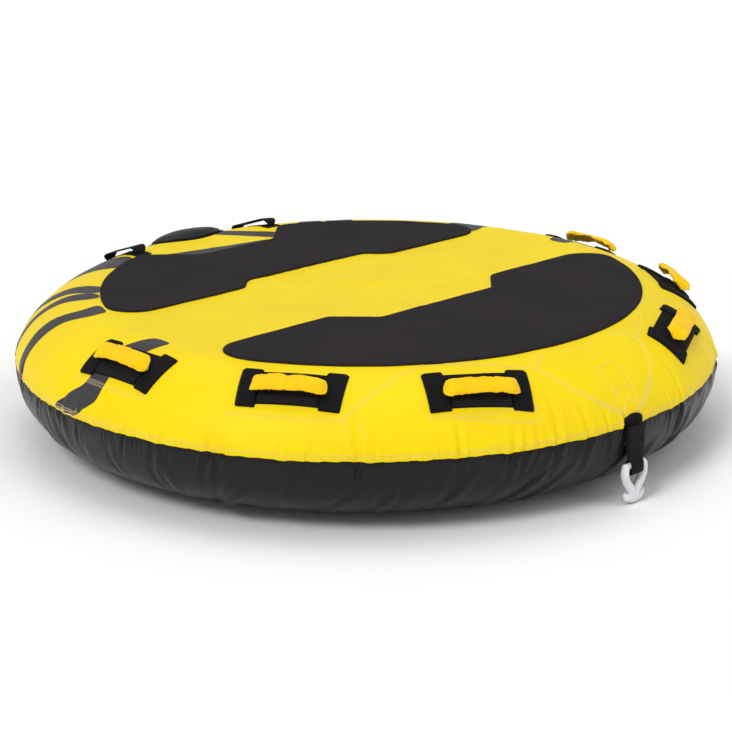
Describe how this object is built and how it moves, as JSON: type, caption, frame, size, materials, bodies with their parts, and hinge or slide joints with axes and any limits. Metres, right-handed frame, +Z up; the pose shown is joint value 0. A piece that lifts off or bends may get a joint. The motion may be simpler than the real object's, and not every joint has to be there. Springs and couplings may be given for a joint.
{
  "type": "towable tube",
  "caption": "Round inflatable deck tube with foam pads, padded handles with knuckle guards, a webbing tow strap with a plastic hook, and a covered valve.",
  "frame": {"origin": "centre of the flat underside", "axes": "+Z up, -Y towards the tow point, +X to the left of a rider who faces the tow point"},
  "size_m": [1.52, 1.5355, 0.3174],
  "materials": {
    "nylon_yellow": "coated nylon, satin",
    "nylon_black": "coated nylon, satin",
    "deck_foam": "fine textured foam, matt",
    "patch_nylon": "heavy woven nylon, matt",
    "flap_nylon": "padded nylon, satin",
    "sleeve_yellow": "woven nylon, satin",
    "guard_foam": "foam under nylon, matt",
    "core_foam": "closed-cell foam",
    "webbing_black": "ribbed webbing",
    "pvc_clear": "soft gloss film",
    "valve_plastic": "moulded, satin",
    "valve_rubber": "matt",
    "hook_plastic": "moulded nylon, satin",
    "zipper_plastic": "coil",
    "zipper_metal": "black lacquer",
    "grommet_brass": "brushed"
  },
  "bodies": {
    "tube": {"cover_top": "nylon_yellow", "cover_bottom": "nylon_black", "seam_tape": "webbing_black", "bladder": "pvc_clear", "bladder_webs": "pvc_clear", "deck_pad_front": "deck_foam", "deck_pad_rear": "deck_foam", "valve_body": "valve_plastic", "valve_insert": "valve_plastic", "valve_diaphragm": "valve_rubber", "valve_tether": "valve_rubber", "valve_surround": "patch_nylon", "tow_tab": "patch_nylon", "tow_anchor_webbing": "webbing_black", "zipper_tape": "webbing_black", "zipper_coil": "zipper_plastic", "drain_grommets": "grommet_brass", "handle_right_side_patch": "patch_nylon", "handle_right_side_knuckle_guard": "guard_foam", "handle_right_middle_patch": "patch_nylon", "handle_right_middle_knuckle_guard": "guard_foam", "handle_right_front_patch": "patch_nylon", "handle_right_front_knuckle_guard": "guard_foam", "handle_left_front_patch": "patch_nylon", "handle_left_front_knuckle_guard": "guard_foam", "handle_left_middle_patch": "patch_nylon", "handle_left_middle_knuckle_guard": "guard_foam", "handle_left_side_patch": "patch_nylon", "handle_left_side_knuckle_guard": "guard_foam", "rear_strap_right_patch": "patch_nylon", "rear_strap_left_patch": "patch_nylon"},
    "grip_right_side": {"handle_right_side_sleeve": "sleeve_yellow", "handle_right_side_foam_core": "core_foam", "handle_right_side_webbing": "webbing_black"},
    "grip_right_middle": {"handle_right_middle_sleeve": "sleeve_yellow", "handle_right_middle_foam_core": "core_foam", "handle_right_middle_webbing": "webbing_black"},
    "grip_right_front": {"handle_right_front_sleeve": "sleeve_yellow", "handle_right_front_foam_core": "core_foam", "handle_right_front_webbing": "webbing_black"},
    "grip_left_front": {"handle_left_front_sleeve": "sleeve_yellow", "handle_left_front_foam_core": "core_foam", "handle_left_front_webbing": "webbing_black"},
    "grip_left_middle": {"handle_left_middle_sleeve": "sleeve_yellow", "handle_left_middle_foam_core": "core_foam", "handle_left_middle_webbing": "webbing_black"},
    "grip_left_side": {"handle_left_side_sleeve": "sleeve_yellow", "handle_left_side_foam_core": "core_foam", "handle_left_side_webbing": "webbing_black"},
    "rear_strap_right": {"rear_strap_right_webbing": "webbing_black"},
    "rear_strap_left": {"rear_strap_left_webbing": "webbing_black"},
    "valve_cover": {"valve_cover": "flap_nylon"},
    "valve_cap": {"valve_cap": "valve_plastic"},
    "tow_strap": {"tow_strap": "webbing_black"},
    "tow_hook": {"tow_hook": "hook_plastic"},
    "zipper_slider": {"zipper_slider": "zipper_metal"},
    "zipper_pull": {"zipper_pull": "zipper_metal"}
  },
  "joints": [
    {"name": "grip_right_side_lean", "type": "hinge", "parent": "tube", "child": "grip_right_side", "pos_m": [-0.6844, -0.04066, 0.27475], "axis": [-0.0593, 0.9982, 0], "range_deg": [-25, 18], "stiffness_Nm_per_rad": 1},
    {"name": "grip_right_middle_lean", "type": "hinge", "parent": "tube", "child": "grip_right_middle", "pos_m": [-0.56285, -0.39265, 0.27462], "axis": [-0.5721, 0.8201, 0], "range_deg": [-25, 10], "stiffness_Nm_per_rad": 1},
    {"name": "grip_right_front_lean", "type": "hinge", "parent": "tube", "child": "grip_right_front", "pos_m": [-0.29519, -0.63295, 0.26689], "axis": [-0.8645, 0.4997, 0.0544], "range_deg": [-25, 10], "stiffness_Nm_per_rad": 1},
    {"name": "grip_left_front_lean", "type": "hinge", "parent": "tube", "child": "grip_left_front", "pos_m": [0.30026, -0.62877, 0.26765], "axis": [-0.8714, -0.4886, -0.0426], "range_deg": [-25, 25], "stiffness_Nm_per_rad": 1},
    {"name": "grip_left_middle_lean", "type": "hinge", "parent": "tube", "child": "grip_left_middle", "pos_m": [0.56612, -0.3964, 0.27135], "axis": [-0.5736, -0.8191, 0], "range_deg": [-25, 25], "stiffness_Nm_per_rad": 1},
    {"name": "grip_left_side_lean", "type": "hinge", "parent": "tube", "child": "grip_left_side", "pos_m": [0.69763, -0.04145, 0.26623], "axis": [-0.0593, -0.9982, 0], "range_deg": [-25, 25], "stiffness_Nm_per_rad": 1},
    {"name": "rear_strap_right_lean", "type": "hinge", "parent": "tube", "child": "rear_strap_right", "pos_m": [-0.19434, 0.60992, 0.27788], "axis": [0.0346, 0.9472, -0.3188], "range_deg": [-15, 15], "stiffness_Nm_per_rad": 0.3},
    {"name": "rear_strap_left_lean", "type": "hinge", "parent": "tube", "child": "rear_strap_left", "pos_m": [0.19434, 0.60992, 0.27788], "axis": [-0.0346, 0.9472, -0.3188], "range_deg": [-15, 15], "stiffness_Nm_per_rad": 0.3},
    {"name": "valve_cover_lift", "type": "hinge", "parent": "tube", "child": "valve_cover", "pos_m": [0, 0.57018, 0.2971], "axis": [1, 0, 0], "range_deg": [0, 90]},
    {"name": "valve_cap_turn", "type": "hinge", "parent": "tube", "child": "valve_cap", "pos_m": [0, 0.632, 0.28739], "axis": [0, 0.288, 0.9576], "range_deg": [0, 360]},
    {"name": "tow_strap_swing", "type": "hinge", "parent": "tube", "child": "tow_strap", "pos_m": [0, -0.766, 0.16], "axis": [-1, 0, 0], "range_deg": [0, 100]},
    {"name": "tow_hook_swing", "type": "hinge", "parent": "tow_strap", "child": "tow_hook", "pos_m": [0, -0.766, 0.08], "axis": [-1, 0, 0], "range_deg": [-15, 100]},
    {"name": "zipper_slide", "type": "hinge", "parent": "tube", "child": "zipper_slider", "pos_m": [0, 0, 0.112], "axis": [0, 0, 1], "range_deg": [0, 52]},
    {"name": "zipper_pull_lift", "type": "hinge", "parent": "zipper_slider", "child": "zipper_pull", "pos_m": [0.33334, 0.68344, 0.11025], "axis": [0.8988, -0.4384, 0], "range_deg": [0, 100]}
  ]
}
